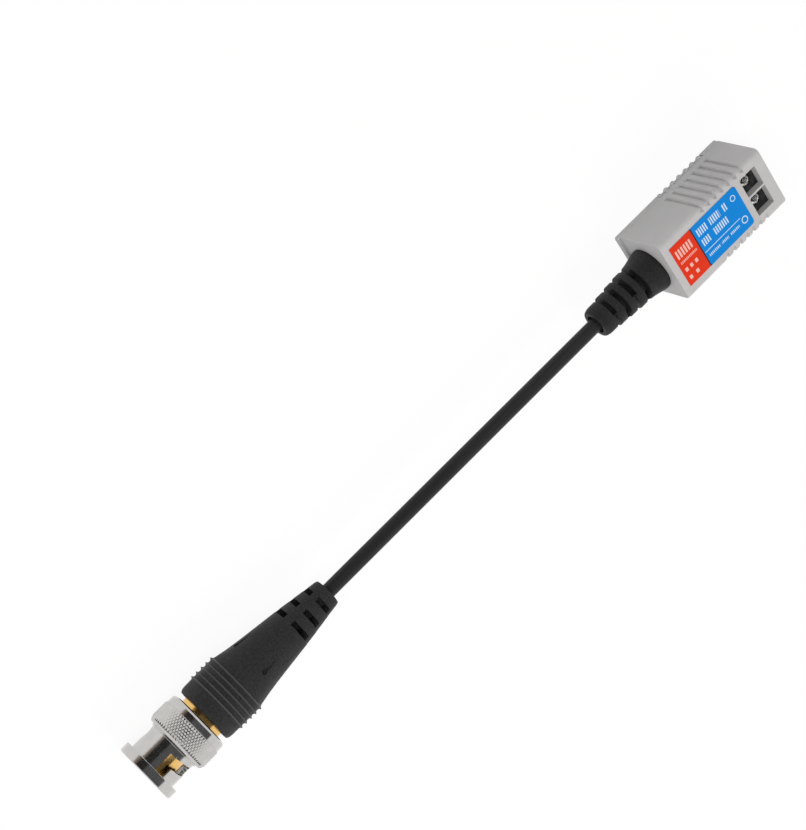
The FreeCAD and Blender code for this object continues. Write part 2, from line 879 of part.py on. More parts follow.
def boot_outline():
    """Half section: round front, grip ridges, waisted cone, tip, then the inside."""
    front = station(boot_front)
    steps = rounded_corner(front, boot_radius - boot_front_round, front + boot_front_round,
                           boot_radius)
    for i in range(boot_ridge_count):
        crest = boot_ridge_start + i * boot_ridge_pitch
        steps += [(station(crest - boot_ridge_flank), boot_radius),
                  (station(crest), boot_ridge_radius),
                  (station(crest + boot_ridge_flank), boot_radius)]
    tip = boot_front + boot_length
    bore = cable_radius + relief_bore_play
    seat = hub_radius + boot_seat_play
    steps += [(station(s), r) for s, r in zip(boot_cone_stations, boot_cone_radii)]
    steps += rounded_corner(station(tip - boot_tip_round), boot_tip_radius, station(tip),
                            boot_tip_radius - boot_tip_round)
    steps += [(station(tip), bore),
              (station(boot_cavity_end + 1.5), bore),
              (station(boot_cavity_end), boot_cavity_tip_radius),
              (station(hub_rear + 0.1), boot_cavity_radius),
              (station(hub_rear + 0.1), seat),
              (front, seat)]
    return steps


def rubber_boot():
    body = turned(boot_outline())
    cutters = []
    for row in range(boot_slot_rows):
        middle = boot_slot_start + row * boot_slot_pitch
        ring = tube(station(middle - boot_slot_width / 2), station(middle + boot_slot_width / 2),
                    boot_core_radius, boot_radius)
        for quarter in range(4):
            web = sector(middle, boot_slot_half_angle, 90 - boot_slot_half_angle)
            ring = ring.cut(rolled(web, 90 * quarter))
        cutters.append(ring)
    return rolled(body.cut(cutters), -plug_roll)


def sector(middle, first, last):
    """A wedge about the cord's axis between two angles from straight up."""
    reach = 2 * boot_radius
    corners = [cord_axis]
    for angle in (first, last):
        corners.append(point(0, -reach * math.sin(math.radians(angle)),
                             cord_axis_height + reach * math.cos(math.radians(angle))))
    wedge = Part.Face(Part.makePolygon(corners + [corners[0]]))
    wedge.translate(point(station(middle - boot_slot_width), 0, 0))
    return wedge.extrude(point(2 * boot_slot_width, 0, 0))


def all_parts():
    parts = {
        "front_shell": front_shell(),
        "back_cover": back_cover(),
        "label": label(),
        "circuit_board": circuit_board(),
        "ferrite_core": ferrite_core(),
        "winding_line": winding(1),
        "winding_coax": winding(-1),
        "ceramic_capacitors": ceramic_capacitors(),
        "surge_diode": surge_diode(),
        "terminal_block": terminal_block(),
        "core_tail": core_tail(),
        "braid_tail": braid_tail(),
        "strain_relief": strain_relief(),
        "coax_cable": coax_cable(),
        "plug_body": plug_body(),
        "plug_insulator": plug_insulator(),
        "centre_pin": centre_pin(),
        "gasket": gasket(),
        "core_end": core_end(),
        "braid_end": braid_end(),
        "crimp_ferrule": crimp_ferrule(),
        "rubber_boot": rubber_boot(),
        "coupling_nut": coupling_nut(),
        "wave_washer": wave_washer(),
        "thrust_washer": thrust_washer(),
        "retaining_ring": retaining_ring(),
    }
    for name, side in rows.items():
        parts["terminal_screw_" + name] = terminal_screw(side)
        parts["wire_cage_" + name] = wire_cage(side)
        parts["contact_bar_" + name] = contact_bar(side)
    return parts


os.makedirs("parts", exist_ok=True)
for name, shape in all_parts().items():
    shape.exportStep("parts/%s.step" % name)
    print("%-22s solids %2d  valid %s  volume %9.2f" % (name, len(shape.Solids), shape.isValid(),
                                                        shape.Volume))
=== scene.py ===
import json
import math
import bpy
from mathutils import Matrix, Vector


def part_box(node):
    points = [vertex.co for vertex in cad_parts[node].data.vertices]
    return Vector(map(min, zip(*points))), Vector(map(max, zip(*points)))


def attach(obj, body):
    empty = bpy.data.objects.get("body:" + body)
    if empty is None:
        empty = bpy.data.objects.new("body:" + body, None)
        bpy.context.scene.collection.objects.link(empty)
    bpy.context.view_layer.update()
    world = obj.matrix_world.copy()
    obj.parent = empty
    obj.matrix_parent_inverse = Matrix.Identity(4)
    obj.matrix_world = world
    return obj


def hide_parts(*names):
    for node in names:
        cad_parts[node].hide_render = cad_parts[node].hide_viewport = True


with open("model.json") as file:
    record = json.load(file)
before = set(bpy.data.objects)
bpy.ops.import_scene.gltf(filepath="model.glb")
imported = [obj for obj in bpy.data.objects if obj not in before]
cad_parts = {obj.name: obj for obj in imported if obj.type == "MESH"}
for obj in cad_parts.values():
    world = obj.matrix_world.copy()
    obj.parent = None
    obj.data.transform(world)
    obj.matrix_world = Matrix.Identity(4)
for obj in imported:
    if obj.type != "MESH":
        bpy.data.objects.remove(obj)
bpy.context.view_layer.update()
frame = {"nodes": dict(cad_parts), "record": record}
mm = 0.001
hair = 0.01 * mm  # how near a corner lies to the place it is looked for at
mergeGap = 0.0004 * mm
healGap = 0.001 * mm
xAxis = Vector((1, 0, 0))

# places read from the frame
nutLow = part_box("coupling_nut")[0]
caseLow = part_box("front_shell")[0]
cableLow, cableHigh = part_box("coax_cable")
cordHeight = (cableLow.z + cableHigh.z) / 2
cordCentre = Vector((0, 0, cordHeight))


def note(text):
    print("scene:", text)


def pick(*things):
    # everything else is deselected first, because operators act on all that is selected
    if bpy.context.mode != "OBJECT":
        bpy.ops.object.mode_set(mode="OBJECT")
    bpy.ops.object.select_all(action="DESELECT")
    for thing in things:
        thing.select_set(True)
    bpy.context.view_layer.objects.active = things[0]


def edit(piece):
    pick(piece)
    bpy.ops.object.mode_set(mode="EDIT")
    bpy.ops.mesh.select_all(action="SELECT")


def editDone():
    bpy.ops.object.mode_set(mode="OBJECT")


def applyAll(piece):
    pick(piece)
    for modifier in list(piece.modifiers):
        bpy.ops.object.modifier_apply(modifier=modifier.name)


def placeInMesh(piece):
    pick(piece)
    bpy.ops.object.transform_apply(location=True, rotation=True, scale=True)


def renamed(piece, name):
    piece.name = name
    piece.data.name = name
    return piece


def placed(name):
    # the piece just added, with its place in its mesh
    piece = renamed(bpy.context.object, name)
    placeInMesh(piece)
    return piece


def linked(piece):
    bpy.context.scene.collection.objects.link(piece)
    return piece


def twinOf(piece):
    # a copy with its own mesh
    twin = piece.copy()
    twin.data = piece.data.copy()
    return linked(twin)


def closeUp(piece):
    edit(piece)
    bpy.ops.mesh.remove_doubles(threshold=mergeGap)
    bpy.ops.mesh.normals_make_consistent(inside=False)
    editDone()


def bevelEdges(piece, width, segments, wanted):
    # rounds the edges whose two ends pass the test
    edit(piece)
    bpy.ops.mesh.select_mode(type="EDGE")
    bpy.ops.mesh.select_all(action="DESELECT")
    editDone()
    corners = piece.data.vertices
    for edge in piece.data.edges:
        edge.select = wanted(corners[edge.vertices[0]].co, corners[edge.vertices[1]].co)
    bpy.ops.object.mode_set(mode="EDIT")
    bpy.ops.mesh.bevel(offset=width * mm, segments=segments, affect="EDGES")
    bpy.ops.mesh.select_mode(type="VERT")
    editDone()


def smoothed(piece, angle):
    pick(piece)
    bpy.ops.object.shade_smooth_by_angle(angle=math.radians(angle))


def evened(piece, angle):
    # smooth, with the large flat faces kept flat
    smoothed(piece, angle)
    modifier = piece.modifiers.new("flats", "WEIGHTED_NORMAL")
    modifier.keep_sharp = True
    applyAll(piece)


def spun(name, outline, start, steps=144, angle=360.0, middle=0.0):
    # a closed outline of (distance, radius) in millimetres, spun about the cord's axis
    spots = [Vector((start + d * mm, 0, cordHeight + r * mm)) for d, r in outline]
    bpy.ops.mesh.primitive_plane_add(size=mm)
    piece = renamed(bpy.context.object, name)
    edit(piece)
    bpy.ops.mesh.select_mode(type="VERT")
    bpy.ops.mesh.merge(type="CENTER")
    bpy.ops.transform.translate(value=spots[0])
    for before, after in zip(spots, spots[1:] + spots[:1]):
        bpy.ops.mesh.extrude_region_move(
            TRANSFORM_OT_translate={"value": after - before})
    bpy.ops.mesh.select_all(action="SELECT")
    bpy.ops.mesh.remove_doubles(threshold=mergeGap)
    full = angle >= 360
    if not full:
        bpy.ops.mesh.edge_face_add()
    bpy.ops.mesh.spin(steps=steps, angle=-math.radians(angle), center=cordCentre, axis=xAxis)
    editDone()
    closeUp(piece)
    turnAboutCord(piece, middle - (0 if full else angle / 2))
    return piece


def turnAboutCord(piece, degrees):
    # positive turns the top towards the -Y side
    turn = Matrix.Rotation(math.radians(degrees), 4, xAxis)
    piece.data.transform(Matrix.Translation(cordCentre) @ turn @ Matrix.Translation(-cordCentre))


def combine(piece, operation, others):
    for other in others:
        modifier = piece.modifiers.new("combine", "BOOLEAN")
        modifier.operation = operation
        modifier.solver = "EXACT"
        modifier.object = other
        applyAll(piece)
        bpy.data.objects.remove(other)


def cut(piece, *cutters):
    combine(piece, "DIFFERENCE", cutters)


def weld(piece, *additions):
    combine(piece, "UNION", additions)


def healed(piece):
    # joins corners less than a micrometre apart and closes any slit between them
    edit(piece)
    bpy.ops.mesh.remove_doubles(threshold=healGap)
    bpy.ops.mesh.fill_holes(sides=0)
    editDone()


def joined(name, *things):
    pick(*things)
    bpy.ops.object.join()
    return renamed(bpy.context.object, name)


def tidyCopy(node, name, angle):
    # the node's own shape, with its triangles joined and its round faces smooth
    piece = linked(bpy.data.objects.new(name, frame["nodes"][node].data.copy()))
    piece.data.name = name
    piece.data.materials.clear()
    edit(piece)
    bpy.ops.mesh.remove_doubles(threshold=mergeGap)
    editDone()
    evened(piece, angle)
    return piece


def block(name, middle, size):
    bpy.ops.mesh.primitive_cube_add(size=1, location=middle, scale=size)
    return placed(name)


def slab(name, x0, x1, y0, y1, z0, z1):
    # a block between two corners in millimetres, along from the case's near end
    middle = (caseLow.x + (x0 + x1) / 2 * mm, (y0 + y1) / 2 * mm, (z0 + z1) / 2 * mm)
    return block(name, middle, ((x1 - x0) * mm, (y1 - y0) * mm, (z1 - z0) * mm))


def rodAlong(name, place, y, z, radius, length, vertices=48, end=None):
    # a rod or cone along X, starting at a place along the case
    bpy.ops.mesh.primitive_cone_add(
        vertices=vertices, radius1=radius * mm, radius2=(radius if end is None else end) * mm,
        depth=length * mm, rotation=(0, math.pi / 2, 0),
        location=(caseLow.x + (place + length / 2) * mm, y * mm, z * mm))
    return placed(name)


def shiftedCopy(piece, shift, flipped=False):
    # moved and, when flipped, on the other side
    twin = twinOf(piece)
    twin.data.transform(Matrix.Translation(shift))
    if flipped:
        twin.data.transform(Matrix.Diagonal((1, -1, 1, 1)))
        closeUp(twin)
    return twin


def dress(piece, material, body, slotName, *nodes):
    piece.data.materials.clear()
    piece.data.materials.append(material)
    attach(piece, body)
    if nodes:
        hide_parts(*nodes)
    return piece


# Finishes

class Finish:
    def __init__(self, name, colour, roughness, metallic=0.0, **sockets):
        self.material = bpy.data.materials.new(name)
        self.material.use_nodes = True
        self.material.diffuse_color = (*colour, 1)
        self.nodes = self.material.node_tree.nodes
        self.links = self.material.node_tree.links
        self.shader = self.nodes["Principled BSDF"]
        self.shader.inputs["Base Color"].default_value = (*colour, 1)
        self.shader.inputs["Roughness"].default_value = roughness
        self.shader.inputs["Metallic"].default_value = metallic
        for socket, value in sockets.items():
            self.shader.inputs[socket].default_value = value
        self.where = self.nodes.new("ShaderNodeTexCoord").outputs["Object"]
        self.lastBump = None

    def add(self, kind, **values):
        made = self.nodes.new(kind)
        for key, value in values.items():
            if key in made.inputs:
                made.inputs[key].default_value = value
            else:
                setattr(made, key, value)
        return made

    def texture(self, kind, size, stretch=(1, 1, 1), **values):
        # size is the width of one patch or band in millimetres
        place = self.add("ShaderNodeMapping")
        place.inputs["Scale"].default_value = [s / (size * mm) for s in stretch]
        self.links.new(self.where, place.inputs["Vector"])
        pattern = self.add(kind, Scale=1.0, **values)
        self.links.new(place.outputs["Vector"], pattern.inputs["Vector"])
        return pattern.outputs["Fac"]

    def noise(self, size, detail=3.0, stretch=(1, 1, 1)):
        return self.texture("ShaderNodeTexNoise", size, stretch, Detail=detail, Roughness=0.55)

    def rings(self, size):
        # turning marks: bands square to the cord's axis
        return self.texture("ShaderNodeTexWave", size, wave_type="BANDS", bands_direction="X",
                            wave_profile="SIN", Distortion=2.0, Detail=2.0)

    def places(self):
        parts = self.add("ShaderNodeSeparateXYZ")
        self.links.new(self.where, parts.inputs["Vector"])
        return [parts.outputs[axis] for axis in "XYZ"]

    def maths(self, operation, *values):
        step = self.add("ShaderNodeMath", operation=operation)
        for socket, value in zip(step.inputs, values):
            if isinstance(value, (int, float)):
                socket.default_value = value
            else:
                self.links.new(value, socket)
        return step.outputs[0]

    def reach(self, first, second):
        # how far a place is from the middle, from its two distances
        squares = [self.maths("MULTIPLY", value, value) for value in (first, second)]
        return self.maths("SQRT", self.maths("ADD", *squares))

    def mixed(self, share, first, second):
        blend = self.add("ShaderNodeMix", data_type="RGBA")
        self.links.new(share, blend.inputs["Factor"])
        for socket, value in ((6, first), (7, second)):
            if isinstance(value, tuple):
                blend.inputs[socket].default_value = (*value, 1)
            else:
                self.links.new(value, blend.inputs[socket])
        return blend.outputs[2]

    def spread(self, value, low, high, clipLow=0.3, clipHigh=0.7):
        band = self.add("ShaderNodeMapRange")
        band.inputs["From Min"].default_value = clipLow
        band.inputs["From Max"].default_value = clipHigh
        band.inputs["To Min"].default_value = low
        band.inputs["To Max"].default_value = high
        self.links.new(value, band.inputs["Value"])
        return band.outputs["Result"]

    def tint(self, value, dark, light, low=0.3, high=0.7):
        ramp = self.add("ShaderNodeValToRGB")
        ramp.color_ramp.elements[0].position = low
        ramp.color_ramp.elements[0].color = (*dark, 1)
        ramp.color_ramp.elements[1].position = high
        ramp.color_ramp.elements[1].color = (*light, 1)
        self.links.new(value, ramp.inputs["Fac"])
        return ramp.outputs["Color"]

    def colour(self, output):
        self.links.new(output, self.shader.inputs["Base Color"])

    def rough(self, output):
        self.links.new(output, self.shader.inputs["Roughness"])

    def bump(self, value, depth, strength=1.0):
        # depth in millimetres
        raised = self.add("ShaderNodeBump", Strength=strength, Distance=depth * mm)
        self.links.new(value, raised.inputs["Height"])
        if self.lastBump:
            self.links.new(self.lastBump, raised.inputs["Normal"])
        self.lastBump = raised.outputs["Normal"]
        self.links.new(self.lastBump, self.shader.inputs["Normal"])


def greyPlastic():
    look = Finish("greyPlastic", (0.445, 0.44, 0.44), 0.5, **{"Specular IOR Level": 0.35})
    broad = look.noise(5.0, 2.0)
    grain = look.noise(0.16, 2.0)
    look.colour(look.tint(broad, (0.43, 0.425, 0.425), (0.46, 0.455, 0.455)))
    look.rough(look.spread(grain, 0.44, 0.58))
    look.bump(grain, 0.02, 0.5)
    look.bump(broad, 0.05, 0.2)
    return look.material


def blackRubber(name, shade, crest=None):
    dark, light = (0.008 * shade,) * 3, (0.027 * shade,) * 3
    look = Finish(name, dark, 0.55, **{"Specular IOR Level": 0.22})
    cloud = look.noise(3.5, 4.0)
    grain = look.noise(0.3, 3.0)
    colour = look.tint(grain, dark, light)
    if crest:
        # painted highlight: the crests, a radius from the cord's axis in millimetres, are coloured
        # lighter to stand in for the light that catches them
        y, z = look.places()[1:]
        reach = look.reach(y, look.maths("SUBTRACT", z, cordHeight))
        paintedCrestHighlight = look.spread(reach, 0.0, 1.0, (crest - 0.36) * mm, (crest - 0.08) * mm)
        # the lighter grey mixed in here is a painted highlight on the crests
        colour = look.mixed(paintedCrestHighlight, colour, (0.075, 0.075, 0.078))
    look.colour(colour)
    look.rough(look.spread(cloud, 0.49, 0.65))
    look.bump(grain, 0.03, 0.5)
    look.bump(cloud, 0.12, 0.3)
    return look.material


def cableJacket():
    look = Finish("cableJacket", (0.013, 0.013, 0.014), 0.4, **{"Specular IOR Level": 0.2})
    drawn = look.noise(0.5, 3.0, (0.04, 1, 1))
    grain = look.noise(0.3, 2.0)
    look.colour(look.tint(drawn, (0.011, 0.011, 0.012), (0.017, 0.017, 0.018)))
    look.rough(look.spread(grain, 0.34, 0.48))
    look.bump(drawn, 0.02, 0.4)
    look.bump(grain, 0.01, 0.3)
    return look.material


def turnedMetal(name, light, dark, shine, flutes=0.0):
    look = Finish(name, light, shine, 1.0)
    cloud = look.noise(2.0, 3.0)
    lathe = look.rings(0.12)
    look.colour(look.tint(cloud, dark, light))
    look.rough(look.spread(cloud, shine * 0.75, shine * 1.35))
    look.bump(lathe, 0.003, 0.25)
    look.bump(cloud, 0.02, 0.1)
    if flutes:
        look.bump(look.noise(0.45, 2.0, (0.05, 1, 1)), flutes, 0.5)
    return look.material


def plainMetal(name, light, dark, shine):
    look = Finish(name, light, shine, 1.0)
    cloud = look.noise(0.9, 4.0)
    look.colour(look.tint(cloud, dark, light))
    look.rough(look.spread(cloud, shine * 0.7, shine * 1.4))
    look.bump(look.noise(0.25, 3.0), 0.01, 0.35)
    return look.material


def moulded(name, dark, light, shine):
    look = Finish(name, light, shine)
    cloud = look.noise(1.5, 3.0)
    look.colour(look.tint(cloud, dark, light))
    look.rough(look.spread(cloud, shine - 0.06, shine + 0.08))
    look.bump(look.noise(0.2, 2.0), 0.01, 0.4)
    return look.material


finishes = {
    "grey_plastic": greyPlastic(),
    "black_rubber": blackRubber("reliefRubber", 0.75),
    # the boot's ridge crests, at this radius, get a painted highlight in their colour
    "boot_rubber": blackRubber("bootRubber", 1.0, 7.25),
    "black_jacket": cableJacket(),
    "nickel": turnedMetal("brightNickel", (0.60, 0.585, 0.57), (0.53, 0.515, 0.50), 0.13),
    "gold": turnedMetal("goldFlash", (0.86, 0.56, 0.20), (0.76, 0.46, 0.14), 0.15,
                        flutes=0.03),
    "white_insulator": moulded("whiteInsulator", (0.78, 0.78, 0.76), (0.84, 0.84, 0.82), 0.35),
    "seal_rubber": moulded("sealRubber", (0.30, 0.06, 0.04), (0.38, 0.09, 0.06), 0.5),
    "spring_steel": plainMetal("springSteel", (0.62, 0.62, 0.62), (0.5, 0.5, 0.5), 0.22),
    "turned_brass": turnedMetal("turnedBrass", (0.78, 0.62, 0.34), (0.66, 0.5, 0.25), 0.25),
    "board_green": moulded("boardGreen", (0.012, 0.14, 0.06), (0.02, 0.2, 0.09), 0.3),
    "ferrite": moulded("ferrite", (0.045, 0.045, 0.05), (0.075, 0.075, 0.08), 0.7),
    "copper_wire": plainMetal("enamelledCopper", (0.78, 0.32, 0.12), (0.6, 0.2, 0.07), 0.25),
    "ceramic": moulded("dippedCeramic", (0.5, 0.25, 0.06), (0.62, 0.34, 0.09), 0.3),
    "diode_black": moulded("diodeBlack", (0.02, 0.02, 0.02), (0.035, 0.035, 0.035), 0.45),
    "block_black": moulded("blockBlack", (0.007, 0.007, 0.0075), (0.013, 0.013, 0.014), 0.42),
    "zinc_steel": plainMetal("screwSteel", (0.84, 0.84, 0.83), (0.66, 0.66, 0.65), 0.16),
    "tinned_brass": plainMetal("tinnedStrip", (0.74, 0.72, 0.66), (0.6, 0.58, 0.5), 0.3),
    "core_white": moulded("coreWhite", (0.74, 0.74, 0.72), (0.8, 0.8, 0.78), 0.45),
    "braid_copper": plainMetal("copperBraid", (0.7, 0.45, 0.3), (0.5, 0.28, 0.16), 0.35),
}
note("finishes made")
slotOf = {row["node"]: row["material_slot"] for row in frame["record"]["subparts"]}
bodyOf = {node: body for body, nodes in frame["record"]["behaviour"]["bodies"].items()
          for node in nodes}

# Coupling nut: distances from its front rim
nutLook = {
    "segments": 160,
    "flange": (2.15, 6.8),
    "flangeRound": (0.22, 0.12),
    "mouth": 0.3,
    "sleeve": 5.62,
    "sleeveStep": 0.1,
    "bead": (7.8, 8.1, 5.95),
    "beadSlope": (0.08, 0.05),
    "bore": 4.9,
    "boreEnd": 9.6,
    "chamber": 6.0,
    "ringGroove": (13.45, 14.2, 6.35),
    "knurlStart": 8.2,
    "knurlFront": (0.12, 6.45, 6.6),
    "knurlFoot": 7.03,
    "knurlEnd": 12.95,
    "taperEnd": 9.3,
    "taper": 0.42,
    # a thin line is cut behind the knurl
    "rearLine": [(13.05, 7.1), (13.12, 7.1), (13.16, 7.0), (13.22, 7.0)],
    "rear": 7.0,
    "rearRound": 14.35,
    "rearRim": 6.1,
    "length": 15.1,
    "slotWidth": 2.3,
    "slotEnd": 6.4,
    "slotAngle": 70.0,
    "slotInner": 4.5,
    "slotLegStart": 2.1,
    # the groove under the flange that a slot opens into: (start, end, radius)
    "slotGroove": (-1.0, 2.3, 5.75),
    "holeStation": 6.15,
    "holeRadius": 1.6,
    "rampStation": 5.25,
    "roll": 57.0,
    "knurlCount": 64,
    "knurlRadius": 7.25,
    "knurlFirst": 8.76,
    "knurlPitch": 1.08,
    "knurlRows": 4,
    "knurlSink": 0.02,
    "knurlHeight": 0.2,
    "knurlTop": 0.12,
}


def nutOutline(s):
    flangeEnd, flangeRadius = s["flange"]
    bead0, bead1, beadRadius = s["bead"]
    groove0, groove1, grooveRadius = s["ringGroove"]
    front, back = s["flangeRound"]
    rise, fall = s["beadSlope"]
    step = s["sleeve"] + s["sleeveStep"]
    edge, low, high = s["knurlFront"]
    outline = [(0, s["bore"] + s["mouth"]), (0, flangeRadius - front), (front, flangeRadius),
               (flangeEnd - back, flangeRadius), (flangeEnd, flangeRadius - back),
               (flangeEnd, s["sleeve"]), (bead0, s["sleeve"]), (bead0 + rise, beadRadius),
               (bead1, beadRadius), (bead1 + fall, step), (s["knurlStart"], step),
               (s["knurlStart"], low), (s["knurlStart"] + edge, high),
               (s["taperEnd"], s["knurlFoot"]), (s["knurlEnd"], s["knurlFoot"]),
               *s["rearLine"], (s["rearRound"] - 0.06, s["rear"])]
    for i in range(7):  # rounded rear edge
        bend = math.pi / 2 * i / 6
        outline.append((s["rearRound"] + (s["length"] - s["rearRound"]) * math.sin(bend),
                        s["rearRim"] + (s["rear"] - s["rearRim"]) * math.cos(bend)))
    outline += [(s["length"], s["chamber"]), (groove1, s["chamber"]), (groove1, grooveRadius),
                (groove0, grooveRadius), (groove0, s["chamber"]), (s["boreEnd"], s["chamber"]),
                (s["boreEnd"], s["bore"]), (s["mouth"], s["bore"])]
    return outline


def nutBar(name, start, end, width, inner, outer):
    # upright above the cord's axis, between two distances and two radii
    x0, x1 = nutLow.x + start * mm, nutLow.x + end * mm
    z0, z1 = cordHeight + inner * mm, cordHeight + outer * mm
    return block(name, ((x0 + x1) / 2, 0, (z0 + z1) / 2), (x1 - x0, width * mm, z1 - z0))


def nutSlot(s, side):
    half = s["slotWidth"] / 2
    inner, outer = s["slotInner"], s["flange"][1]
    leg = nutBar("slotLeg", s["slotLegStart"], s["slotEnd"], s["slotWidth"], inner, outer)
    start, end, top = s["slotGroove"]
    groove = nutBar("slotGroove", start, end, s["slotWidth"], inner, top)
    for piece in (leg, groove):
        turnAboutCord(piece, -s["slotAngle"] + side)
    low, high = s["rampStation"] - half, s["rampStation"] + half
    ramp = spun("slotRamp", [(low, inner), (high, inner), (high, outer), (low, outer)], nutLow.x,
                steps=24, angle=s["slotAngle"], middle=-s["slotAngle"] / 2)
    climb = (s["holeStation"] - s["rampStation"]) * mm
    for corner in ramp.data.vertices:
        arm = corner.co - cordCentre
        turned = math.degrees(math.atan2(-arm.y, arm.z))
        corner.co.x += climb * (1 + turned / s["slotAngle"])
    turnAboutCord(ramp, side)
    bpy.ops.mesh.primitive_cylinder_add(
        vertices=40, radius=s["holeRadius"] * mm, depth=(outer - inner) * mm,
        location=(nutLow.x + s["holeStation"] * mm, 0, cordHeight + (inner + outer) / 2 * mm))
    hole = placed("slotHole")
    turnAboutCord(hole, side)
    return [leg, groove, ramp, hole]


def knurl(s):
    # one flat-topped diamond, spun and stepped into rows
    pitchRound = 2 * math.pi * s["knurlRadius"] / s["knurlCount"]
    bpy.ops.mesh.primitive_plane_add(size=1)
    tile = renamed(bpy.context.object, "knurlTile")
    half = (s["knurlPitch"] / 2 * mm, pitchRound / 2 * mm)
    corners = [(-half[0], 0), (0, -half[1]), (half[0], 0), (0, half[1])]
    order = sorted(tile.data.vertices, key=lambda v: math.atan2(v.co.y, v.co.x))
    for corner, spot in zip(order, corners):
        corner.co = (*spot, cordHeight + (s["knurlFoot"] - s["knurlSink"]) * mm)
    edit(tile)
    bpy.ops.mesh.extrude_region_move(
        TRANSFORM_OT_translate={"value": (0, 0, (s["knurlHeight"] + s["knurlSink"]) * mm)})
    bpy.ops.transform.resize(value=(s["knurlTop"], s["knurlTop"], 1),
                             center_override=(0, 0, cordHeight))
    bpy.ops.mesh.select_all(action="SELECT")
    bpy.ops.mesh.spin(steps=s["knurlCount"], angle=2 * math.pi, center=cordCentre, axis=xAxis,
                      dupli=True)
    editDone()
    rows = []
    for i in range(2 * s["knurlRows"]):
        row = twinOf(tile)
        turnAboutCord(row, 180.0 / s["knurlCount"] * (i % 2))
        place = nutLow.x + (s["knurlFirst"] + i * s["knurlPitch"] / 2) * mm
        row.data.transform(Matrix.Translation((place, 0, 0)))
        rows.append(row)
    bpy.data.objects.remove(tile)
    whole = joined("nutKnurl", *rows)
    for corner in whole.data.vertices:  # the front of the ring tapers
        drop = max(0.0, s["taperEnd"] - (corner.co.x - nutLow.x) / mm) * s["taper"] * mm
        arm = corner.co - cordCentre
        arm.x = 0
        corner.co -= arm.normalized() * drop
    return whole


def makeNut(s):
    body = spun("nutBody", nutOutline(s), nutLow.x, s["segments"])
    for side in (0, 180):
        cut(body, *nutSlot(s, side))
    healed(body)
    smoothed(body, 28)
    teeth = knurl(s)
    smoothed(teeth, 10)
    nut = joined("bayonetNut", body, teeth)
    turnAboutCord(nut, s["roll"])
    return dress(nut, finishes["nickel"], "nut", "nickel", "coupling_nut")


bayonetNut = makeNut(nutLook)
note("coupling nut made")

# Boot: distances from the nut's front rim
bootLook = {
    "segments": 144,
    "front": [(16.2, 5.9), (16.22, 6.3), (16.45, 6.52), (16.9, 6.68), (17.4, 6.75),
              (19.35, 6.785)],
    "ridges": [19.83, 21.10, 22.44, 23.71, 25.03],
    "crest": 7.25,
    "valley": 6.76,
    # half a ridge: (distance from its middle, rise from the valley or fall from the crest)
    "ridgeFoot": (0.3, 0.1),
    "ridgeShoulder": (0.1, 0.14),
    "cone": [(25.35, 6.74), (25.7, 6.62), (28.26, 6.13), (31.2, 5.7), (34.2, 5.33), (37.2, 4.97),
             (40.3, 4.6), (42.4, 4.315), (46.4, 3.73), (49.2, 3.32), (50.3, 3.17), (50.7, 3.08),
             (50.9, 2.95), (50.95, 2.75)],
    "inside": [(50.95, 1.65), (32.5, 1.65), (31.0, 2.3), (19.6, 4.6), (19.6, 5.02), (16.2, 5.02)],
    "slotRows": [41.1, 44.47, 47.96],
    "slotWidth": 1.2,
    "slotAngle": 64.0,
    "slotFloor": 1.8,
    "slotTop": 6.6,
    "markStation": 29.9,
    "markRadius": 0.4,
    "markFloor": 5.28,
    "markLength": 5.2,
    "headRadius": 0.62,
    "headHeight": 5.78,
    "roll": -8.6,
}


def bootOutline(s):
    outline = list(s["front"])
    foot, lift = s["ridgeFoot"]
    shoulder, fall = s["ridgeShoulder"]
    low, high = s["valley"] + lift, s["crest"] - fall
    for place, after in zip(s["ridges"], s["ridges"][1:] + [None]):
        outline += [(place - foot, low), (place - shoulder, high), (place, s["crest"]),
                    (place + shoulder, high), (place + foot, low)]
        if after:
            outline.append(((place + after) / 2, s["valley"]))
    return outline + s["cone"] + s["inside"]


def makeBoot(s):
    body = spun("bootBody", bootOutline(s), nutLow.x, s["segments"])
    for station in s["slotRows"]:
        low, high = station - s["slotWidth"] / 2, station + s["slotWidth"] / 2
        box = [(low, s["slotFloor"]), (high, s["slotFloor"]), (high, s["slotTop"]),
               (low, s["slotTop"])]
        for quarter in range(4):
            cut(body, spun("bootSlot", box, nutLow.x, 16, s["slotAngle"], 90.0 * quarter))
    for quarter in range(4):
        height = cordHeight + (s["markFloor"] + s["markRadius"]) * mm
        place = nutLow.x + (s["markStation"] + s["markRadius"]) * mm
        bpy.ops.mesh.primitive_cylinder_add(
            vertices=24, radius=s["markRadius"] * mm, depth=s["markLength"] * mm,
            location=(place + s["markLength"] / 2 * mm, 0, height), rotation=(0, math.pi / 2, 0))
        groove = placed("bootMark")
        bpy.ops.mesh.primitive_uv_sphere_add(
            segments=24, ring_count=16, radius=s["headRadius"] * mm,
            location=(place, 0, cordHeight + s["headHeight"] * mm))
        head = placed("bootMarkHead")
        for cutter in (groove, head):
            turnAboutCord(cutter, 90.0 * quarter)
        cut(body, groove, head)
    turnAboutCord(body, s["roll"])
    healed(body)
    smoothed(body, 33)
    return dress(renamed(body, "plugBoot"), finishes["boot_rubber"], "housing", "black_rubber",
                 "rubber_boot")


plugBoot = makeBoot(bootLook)
note("boot made")

